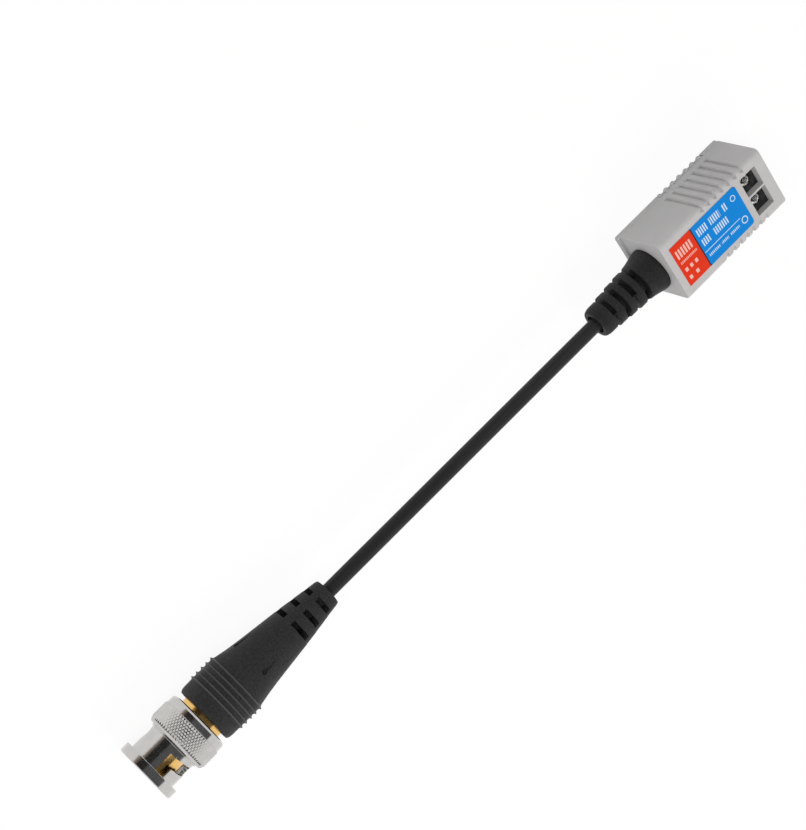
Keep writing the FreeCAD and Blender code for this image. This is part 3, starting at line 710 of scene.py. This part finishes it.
# Strain relief: distances out from the case's end wall, towards the plug
reliefLook = {
    "segments": 128,
    "flare": [(0.0, 4.9), (-0.12, 5.18), (-0.4, 5.3), (-0.85, 5.31), (-1.6, 5.17), (-2.67, 4.905),
              (-4.0, 4.6), (-5.1, 4.44), (-5.42, 4.38)],
    "rings": [(-5.94, -8.49, 4.36), (-8.8, -11.35, 4.16), (-11.55, -14.2, 3.91),
              (-14.5, -16.2, 3.64)],
    "grooveDepth": 0.36,
    "grooveFillet": (0.12, 0.08, 0.1),
    "edgeRound": 0.22,
    "edgeFall": 0.07,
    "tip": [(-16.9, 3.6), (-17.5, 3.46), (-17.85, 3.3), (-17.98, 3.16), (-18.0, 3.05)],
    "inside": [(-18.0, 2.3), (-17.1, 2.2), (-17.0, 1.65), (2.95, 1.65), (2.95, 4.3),
               (1.55, 4.3), (1.55, 3.7), (0.0, 3.7)],
    # (middle, width, quarter turns)
    "slots": [(-5.72, 1.5, 0), (-8.68, 1.34, 1), (-11.5, 1.26, 0), (-14.4, 1.1, 1)],
    "slotFloor": 2.35,
    "slotTop": 6.2,
    "slotAngle": 156.0,
}


def reliefOutline(s):
    outline = list(s["flare"])
    soft, fall = s["edgeRound"], s["edgeFall"]
    front, back, lift = s["grooveFillet"]
    for start, end, radius in s["rings"]:
        low, shoulder = radius - s["grooveDepth"], radius - fall
        outline += [(start + front, low), (start, low + lift), (start - soft * 0.4, shoulder),
                    (start - soft, radius), (end + soft, radius), (end + soft * 0.4, shoulder),
                    (end, low + lift), (end - back, low)]
    # the last ring runs on into the tip
    return outline[:-4] + [(end, radius)] + s["tip"] + s["inside"]


def makeRelief(s):
    body = spun("reliefBody", reliefOutline(s), caseLow.x, s["segments"])
    for middle, width, across in s["slots"]:
        low, high = middle - width / 2, middle + width / 2
        box = [(low, s["slotFloor"]), (high, s["slotFloor"]), (high, s["slotTop"]),
               (low, s["slotTop"])]
        for side in (0, 180):
            cut(body, spun("reliefSlot", box, caseLow.x, 40, s["slotAngle"], 90.0 * across + side))
    healed(body)
    smoothed(body, 33)
    return dress(renamed(body, "caseRelief"), finishes["black_rubber"], "housing", "black_rubber",
                 "strain_relief")


caseRelief = makeRelief(reliefLook)
note("strain relief made")

# Case: places along it are from the end that the cable enters
caseLook = {
    "length": 31.7,
    "half": 7.5,
    "height": 15.0,
    "split": 1.55,
    "longEdge": 1.15,
    "rim": 0.22,
    "seam": 0.13,
    "cavity": (1.5, 30.2, 6.1, 13.1),
    "cavityRound": 0.4,
    "neckHole": 3.8,
    # ribs beside the board: places along, their width, both sides' spans across, foot, sink
    "boardRibs": [9.525, 21.2],
    "ribWidth": 1.0,
    "ribSpans": [(5.5, 6.4), (-6.1, -5.5)],
    "ribFoot": 4.0,
    "ribSink": 0.3,
    "windows": (23.9, 28.7, 0.225, 4.975),
    # (across, up, radius, flare, start of the hole along)
    "wireHole": (2.54, 6.35, 1.9, 0.3, 29),
    "grooves": [12.9 + 2.09 * i for i in range(7)],
    "grooveFoot": 3.45,
    "grooveEnd": 5.62,
    "grooveLift": 0.62,
    # across one groove: (along, out from the wall)
    "grooveSection": [(-0.8, 0.05), (0.1, -0.46), (0.36, -0.55), (0.46, 0.05), (0.46, 0.4),
                      (-0.8, 0.4)],
    "draft": (0.1, 0.3),
    "draftReach": 0.7,
}
coverLook = {
    "ledge": 0.65,
    "corner": 0.5,
    "edge": 0.25,
    "bed": (12.75, 26.7, 0.46),
    "ribs": [13.46 + 2.085 * i for i in range(7)],
    "ribRadius": 0.72,
    "ribPeak": 7.56,
    "ribTop": 1.4,
    "ribEdge": 0.12,
    "lip": (1.6, 30.1, 6.0, 2.7),
    "lipWall": 0.9,
    "lipSink": 0.3,
}


def level(value, wanted):
    return abs(value - wanted * mm) < hair


def drafted(piece, s):
    # the shell's ends lean in towards the face, as they do out of a mould
    near, far = s["draft"]
    for corner in piece.data.vertices:
        along = (corner.co.x - caseLow.x) / mm
        share = corner.co.z / mm / s["height"]
        if along < s["draftReach"]:
            corner.co.x -= near * (1 - share) * mm
        elif along > s["length"] - s["draftReach"]:
            corner.co.x -= far * share * mm


def gripGrooves(s):
    # up the side wall and over the rounded edge, both sides
    bendY, bendZ = s["half"] - s["longEdge"], s["height"] - s["longEdge"]
    bpy.ops.mesh.primitive_circle_add(vertices=len(s["grooveSection"]), radius=mm,
                                      fill_type="NGON")
    groove = renamed(bpy.context.object, "gripGroove")
    for corner, (along, out) in zip(groove.data.vertices, s["grooveSection"]):
        corner.co = (caseLow.x + along * mm, (s["half"] + out) * mm, s["grooveFoot"] * mm)
    edit(groove)
    bpy.ops.mesh.extrude_region_move(
        TRANSFORM_OT_translate={"value": (0, 0, (bendZ - s["grooveFoot"]) * mm)})
    bpy.ops.mesh.spin(steps=10, angle=-math.pi / 2, center=(0, bendY * mm, bendZ * mm),
                      axis=xAxis)
    bpy.ops.mesh.extrude_region_move(TRANSFORM_OT_translate={
        "value": (0, (s["grooveEnd"] - bendY) * mm, s["grooveLift"] * mm)})
    editDone()
    closeUp(groove)
    whole = []
    for place in s["grooves"]:
        for flipped in (False, True):
            whole.append(shiftedCopy(groove, (place * mm, 0, 0), flipped))
    bpy.data.objects.remove(groove)
    return joined("gripGrooves", *whole)


def makeShell(s):
    low, high, half, top = s["split"], s["height"], s["half"], s["length"]
    shell = slab("caseShell", 0, top, -half, half, low, high)
    bevelEdges(shell, s["longEdge"], 8,
               lambda a, b: level(a.z, high) and level(b.z, high) and abs(a.y - b.y) < hair)
    ends = (caseLow.x, caseLow.x + top * mm)
    bevelEdges(shell, s["rim"], 2,
               lambda a, b: min(abs(a.x - x) + abs(b.x - x) for x in ends) < hair
               and not (level(a.z, low) and level(b.z, low)))
    bevelEdges(shell, s["seam"], 1, lambda a, b: level(a.z, low) and level(b.z, low))
    x0, x1, wide, roof = s["cavity"]
    cavity = slab("cavity", x0, x1, -wide, wide, 0, roof)
    bevelEdges(cavity, s["cavityRound"], 3,
               lambda a, b: level(a.z, roof) and level(b.z, roof) and abs(a.y - b.y) < hair)
    cut(shell, cavity)
    reach = s["ribWidth"] / 2
    ribs = [slab("boardRib", x - reach, x + reach, *span, s["ribFoot"], roof + s["ribSink"])
            for x in s["boardRibs"] for span in s["ribSpans"]]
    weld(shell, *ribs)
    x0, x1, y0, y1 = s["windows"]
    for side in (1, -1):
        window = slab("window", x0, x1, *sorted((side * y0, side * y1)), roof - 1, high + 1)
        y, z, radius, flare, start = s["wireHole"]
        hole = rodAlong("wireHole", start, side * y, z, radius, 4)
        mouth = rodAlong("wireMouth", top - 1.2 * flare, side * y, z, radius - 0.15, 2 * flare, 40,
                         radius + 1.7 * flare)
        cut(shell, window, hole, mouth)
    neck = rodAlong("neckHole", -1, 0, cordHeight / mm, s["neckHole"], 4, 64)
    cut(shell, neck, gripGrooves(s))
    drafted(shell, s)
    healed(shell)
    evened(shell, 30)
    return dress(shell, finishes["grey_plastic"], "housing", "grey_plastic", "front_shell")


def makeCover(s, c):
    half, top, thick = s["half"], s["length"], s["split"]
    cover = slab("caseCover", -c["ledge"], top, -half, half, 0, thick)
    bevelEdges(cover, c["corner"], 4, lambda a, b: abs(a.z - b.z) > mm)
    bevelEdges(cover, c["edge"], 3, lambda a, b: level(a.z, 0) and level(b.z, 0))
    bevelEdges(cover, s["seam"], 1, lambda a, b: level(a.z, thick) and level(b.z, thick))
    x0, x1, depth = c["bed"]
    for side in (1, -1):
        span = sorted((side * (half - depth), side * (half + 1)))
        cut(cover, slab("ribBed", x0, x1, *span, -1, 3))
    x0, x1, wide, high = c["lip"]
    wall = c["lipWall"]
    lip = slab("coverLip", x0, x1, -wide, wide, thick - c["lipSink"], high)
    hollow = slab("lipHollow", x0 + wall, x1 - wall, wall - wide, wide - wall, thick - 0.5,
                  high + 1)
    cut(lip, hollow)
    weld(cover, lip)
    bpy.ops.mesh.primitive_cylinder_add(
        vertices=28, radius=c["ribRadius"] * mm, depth=c["ribTop"] * mm,
        location=(caseLow.x, (c["ribPeak"] - c["ribRadius"]) * mm, c["ribTop"] / 2 * mm))
    rib = placed("coverRib")
    bevelEdges(rib, c["ribEdge"], 2, lambda a, b: abs(a.z - b.z) < hair)
    ribs = [shiftedCopy(rib, (place * mm, 0, 0), flipped)
            for place in c["ribs"] for flipped in (False, True)]
    bpy.data.objects.remove(rib)
    weld(cover, joined("coverRibs", *ribs))
    healed(cover)
    evened(cover, 30)
    return dress(cover, finishes["grey_plastic"], "housing", "grey_plastic", "back_cover")


caseShell = makeShell(caseLook)
caseCover = makeCover(caseLook, coverLook)
note("case made")

# Label: printed film in two fields, with plain bars where the printing was
labelLook = {
    "divider": (8.1, 8.4),
    "dividerColour": (0.012, 0.012, 0.014),
    "red": ((0.60, 0.026, 0.004), (0.63, 0.029, 0.005)),
    "blue": ((0.0, 0.185, 0.55), (0.0, 0.195, 0.58)),
    "ink": (0.50, 0.62, 0.74),
    "redInk": (0.72, 0.42, 0.36),
    # rows of small blocks: (low y, high y, block pitch, share filled, spans along)
    "blueRows": [(2.1, 3.9, 0.62, 0.55, [(9.2, 12.0), (13.0, 16.1), (17.0, 18.3)]),
                 (-0.5, 1.2, 0.62, 0.55, [(9.2, 11.6), (12.9, 17.2)]),
                 (-1.86, -1.70, 40.0, 1.0, [(8.6, 19.6)]),
                 (-3.35, -2.75, 0.42, 0.55, [(9.2, 12.6), (13.1, 15.2), (15.8, 18.6)])],
    "redRows": [(1.6, 3.7, 0.8, 0.6, [(2.5, 7.2)]),
                (0.25, 0.8, 0.42, 0.55, [(2.5, 7.3)]),
                (-1.9, -1.0, 1.5, 0.5, [(2.6, 6.9)]),
                (-4.0, -3.1, 2.0, 0.4, [(2.6, 5.6)])],
    # small rings: (along, y, radius, line)
    "rings": [(20.45, -2.9, 0.75, 0.12), (20.45, 3.1, 0.62, 0.1)],
}


def labelFilm(s):
    look = Finish("labelFilm", s["blue"][0], 0.4, **{"Specular IOR Level": 0.2})
    along, across = look.places()[:2]
    maths, mixed = look.maths, look.mixed

    def between(value, low, high):
        return maths("COMPARE", value, (low + high) / 2, (high - low) / 2)

    def printed(rows):
        whole = 0.0
        for low, high, pitch, filled, spans in rows:
            words = 0.0
            for x0, x1 in spans:
                here = between(along, caseLow.x + x0 * mm, caseLow.x + x1 * mm)
                words = maths("MAXIMUM", here, words)
            start = caseLow.x + spans[0][0] * mm
            step = maths("WRAP", maths("SUBTRACT", along, start), pitch * mm, 0.0)
            block = maths("LESS_THAN", step, pitch * filled * mm)
            row = maths("MULTIPLY", maths("MULTIPLY", words, block),
                        between(across, low * mm, high * mm))
            whole = maths("MAXIMUM", row, whole)
        return whole

    rings = 0.0
    for x, y, radius, line in s["rings"]:
        dx = maths("SUBTRACT", along, caseLow.x + x * mm)
        dy = maths("SUBTRACT", across, y * mm)
        ring = between(look.reach(dx, dy), (radius - line) * mm, (radius + line) * mm)
        rings = maths("MAXIMUM", ring, rings)
    patches = look.noise(3.0)
    red = mixed(printed(s["redRows"]), look.tint(patches, *s["red"]), s["redInk"])
    blueInk = maths("MAXIMUM", printed(s["blueRows"]), rings)
    blue = mixed(blueInk, look.tint(patches, *s["blue"]), s["ink"])
    start, end = (caseLow.x + place * mm for place in s["divider"])
    dark = mixed(maths("GREATER_THAN", along, start), red, s["dividerColour"])
    look.colour(mixed(maths("GREATER_THAN", along, end), dark, blue))
    look.rough(look.spread(look.noise(1.2), 0.34, 0.46))
    look.bump(look.noise(0.5), 0.003, 0.3)
    return look.material


label = tidyCopy("label", "labelFilm", 32)
dress(label, labelFilm(labelLook), "housing", "label_print", "label")
note("label made")

# Cable: one straight run, with a point about 6 diameters in from each end
cableLook = {
    "diameter": 3.2,
    "lead": 19.2,
}


def makeCable(s):
    curve = bpy.data.curves.new("pigtail", "CURVE")
    curve.dimensions = "3D"
    line = curve.splines.new("NURBS")
    start, end = cableHigh.x, cableLow.x
    places = [start, start - s["lead"] * mm, end + s["lead"] * mm, end]
    line.points.add(len(places) - 1)
    for spot, place in zip(line.points, places):
        spot.co = (place, 0, cordHeight, 1)
    line.order_u = 3
    line.use_endpoint_u = True
    line.resolution_u = 12
    curve.bevel_depth = s["diameter"] / 2 * mm
    curve.bevel_resolution = 10
    curve.use_fill_caps = True
    piece = linked(bpy.data.objects.new("pigtail", curve))
    dress(piece, finishes["black_jacket"], "housing", "black_jacket", "coax_cable")
    return piece, Vector((start, 0, cordHeight)), start - end


pigtail, cableExit, cableLength = makeCable(cableLook)
note("cable made")

# Everything else keeps its own shape, with its round faces smooth
madeNodes = {"coupling_nut", "rubber_boot", "strain_relief", "front_shell", "back_cover", "label",
             "coax_cable"}
for node in sorted(frame["nodes"]):
    if node in madeNodes:
        continue
    words = node.split("_")
    name = words[0] + "".join(word.capitalize() for word in words[1:]) + "Piece"
    piece = tidyCopy(node, name, 30)
    dress(piece, finishes[slotOf[node]], bodyOf[node], slotOf[node], node)

note("other pieces dressed")

# Stage
stageLook = {
    "floorSize": 6.0,
    "floorDrop": 0.00002,
    "floorColour": (0.86, 0.86, 0.86),
    "floorGlow": 0.92,
    "worldFill": 0.4,
}


def raySwitch(nodes, links):
    # 1 for what the camera, mirrors and glass see
    path = nodes.new("ShaderNodeLightPath")
    total = path.outputs["Is Camera Ray"]
    for kind in ("Is Glossy Ray", "Is Transmission Ray"):
        more = nodes.new("ShaderNodeMath")
        more.operation = "MAXIMUM"
        links.new(total, more.inputs[0])
        links.new(path.outputs[kind], more.inputs[1])
        total = more.outputs[0]
    return total


def makeFloor(s):
    bpy.ops.mesh.primitive_plane_add(size=s["floorSize"], location=(0, 0, -s["floorDrop"]))
    floor = renamed(bpy.context.object, "floor")
    material = bpy.data.materials.new("paleFloor")
    material.use_nodes = True
    nodes, links = material.node_tree.nodes, material.node_tree.links
    nodes.remove(nodes["Principled BSDF"])
    plain = nodes.new("ShaderNodeBsdfDiffuse")
    plain.inputs["Color"].default_value = (*s["floorColour"], 1)
    glow = nodes.new("ShaderNodeEmission")
    glow.inputs["Color"].default_value = (1, 1, 1, 1)
    glow.inputs["Strength"].default_value = 1.0
    seen = nodes.new("ShaderNodeMixShader")
    seen.inputs[0].default_value = s["floorGlow"]
    links.new(plain.outputs[0], seen.inputs[1])
    links.new(glow.outputs[0], seen.inputs[2])
    whole = nodes.new("ShaderNodeMixShader")
    links.new(raySwitch(nodes, links), whole.inputs[0])
    links.new(plain.outputs[0], whole.inputs[1])
    links.new(seen.outputs[0], whole.inputs[2])
    links.new(whole.outputs[0], nodes["Material Output"].inputs["Surface"])
    floor.data.materials.append(material)


def makeWorld(s):
    world = bpy.data.worlds.new("studio")
    bpy.context.scene.world = world
    world.use_nodes = True
    nodes, links = world.node_tree.nodes, world.node_tree.links
    fill = nodes["Background"]
    fill.inputs["Color"].default_value = (1, 1, 1, 1)
    fill.inputs["Strength"].default_value = s["worldFill"]
    seen = nodes.new("ShaderNodeBackground")
    seen.inputs["Color"].default_value = (1, 1, 1, 1)
    seen.inputs["Strength"].default_value = 1.0
    both = nodes.new("ShaderNodeMixShader")
    links.new(raySwitch(nodes, links), both.inputs[0])
    links.new(fill.outputs[0], both.inputs[1])
    links.new(seen.outputs[0], both.inputs[2])
    links.new(both.outputs[0], nodes["World Output"].inputs["Surface"])


lampLook = [
    {"name": "softLeft", "place": (-0.15, -0.55, 0.55), "aim": (-0.07, 0, 0.01), "size": 0.5,
     "power": 3.7, "colour": (1.0, 0.93, 0.92)},
    {"name": "softTop", "place": (-0.2, 0.1, 0.8), "aim": (-0.07, 0, 0.01), "size": 0.6,
     "power": 0.9, "colour": (1.0, 1.0, 1.0)},
    {"name": "softFront", "place": (-0.4, 0.3, 0.55), "aim": (-0.05, 0, 0.01), "size": 0.25,
     "power": 2.2, "colour": (1.0, 1.0, 1.0)},
]


def makeLamps(lamps):
    for s in lamps:
        light = bpy.data.lights.new(s["name"], "AREA")
        light.energy = s["power"]
        light.color = s["colour"]
        light.shape = "SQUARE"
        light.size = s["size"]
        lamp = linked(bpy.data.objects.new(s["name"], light))
        lamp.location = s["place"]
        aim = Vector(s["aim"]) - Vector(s["place"])
        lamp.rotation_euler = aim.to_track_quat("-Z", "Y").to_euler()
        lamp.visible_glossy = False


cardLook = {
    "radius": 0.5,
    "facets": 120,
    "along": (-0.32, 0.02),
    # arcs from the +Y horizon over the top: (first turn, last turn, glow)
    "bands": [(-98.0, -78.0, (0.24, 0.19, 0.15)), (-78.0, -45.0, (0.03, 0.03, 0.03)),
              (-45.0, 33.0, (0.11, 0.11, 0.115))],
}


def makeDarkBand(s, first, last, glowColour):
    # a dark arch that only mirror-like surfaces see, as it gives metal its dark band
    x0, x1 = s["along"]
    bpy.ops.mesh.primitive_cylinder_add(
        vertices=s["facets"], radius=s["radius"], depth=x1 - x0, end_fill_type="NOTHING",
        location=((x0 + x1) / 2, 0, 0), rotation=(0, math.pi / 2, 0))
    card = placed("darkCard")
    edit(card)
    bpy.ops.mesh.select_mode(type="FACE")
    bpy.ops.mesh.select_all(action="DESELECT")
    editDone()
    for face in card.data.polygons:
        turned = math.degrees(math.atan2(-face.center.y, face.center.z))
        face.select = not first < turned < last
    bpy.ops.object.mode_set(mode="EDIT")
    bpy.ops.mesh.delete(type="FACE")
    editDone()
    material = bpy.data.materials.new("darkFlag")
    material.use_nodes = True
    nodes, links = material.node_tree.nodes, material.node_tree.links
    nodes.remove(nodes["Principled BSDF"])
    glow = nodes.new("ShaderNodeEmission")
    glow.inputs["Color"].default_value = (*glowColour, 1)
    links.new(glow.outputs[0], nodes["Material Output"].inputs["Surface"])
    card.data.materials.append(material)
    card.visible_camera = False
    card.visible_diffuse = False
    card.visible_shadow = False
    card.visible_transmission = False
    card.visible_volume_scatter = False


cameraLook = {
    "lens": 83.76,
    "sensor": 36.0,
    "clip": (0.02, 20.0),
    "place": (-0.1630, 0.2113, 0.3334),
    "turn": (-15.677, -29.385, -36.856),
}


def makeCamera(s):
    lens = bpy.data.cameras.new("camera")
    lens.lens = s["lens"]
    lens.sensor_width = s["sensor"]
    lens.clip_start, lens.clip_end = s["clip"]
    camera = linked(bpy.data.objects.new("camera", lens))
    camera.location = s["place"]
    camera.rotation_euler = [math.radians(angle) for angle in s["turn"]]
    bpy.context.scene.camera = camera


makeFloor(stageLook)
makeWorld(stageLook)
makeLamps(lampLook)
for first, last, glowColour in cardLook["bands"]:
    makeDarkBand(cardLook, first, last, glowColour)
makeCamera(cameraLook)
bpy.context.scene.view_settings.view_transform = "Standard"
note("stage set")
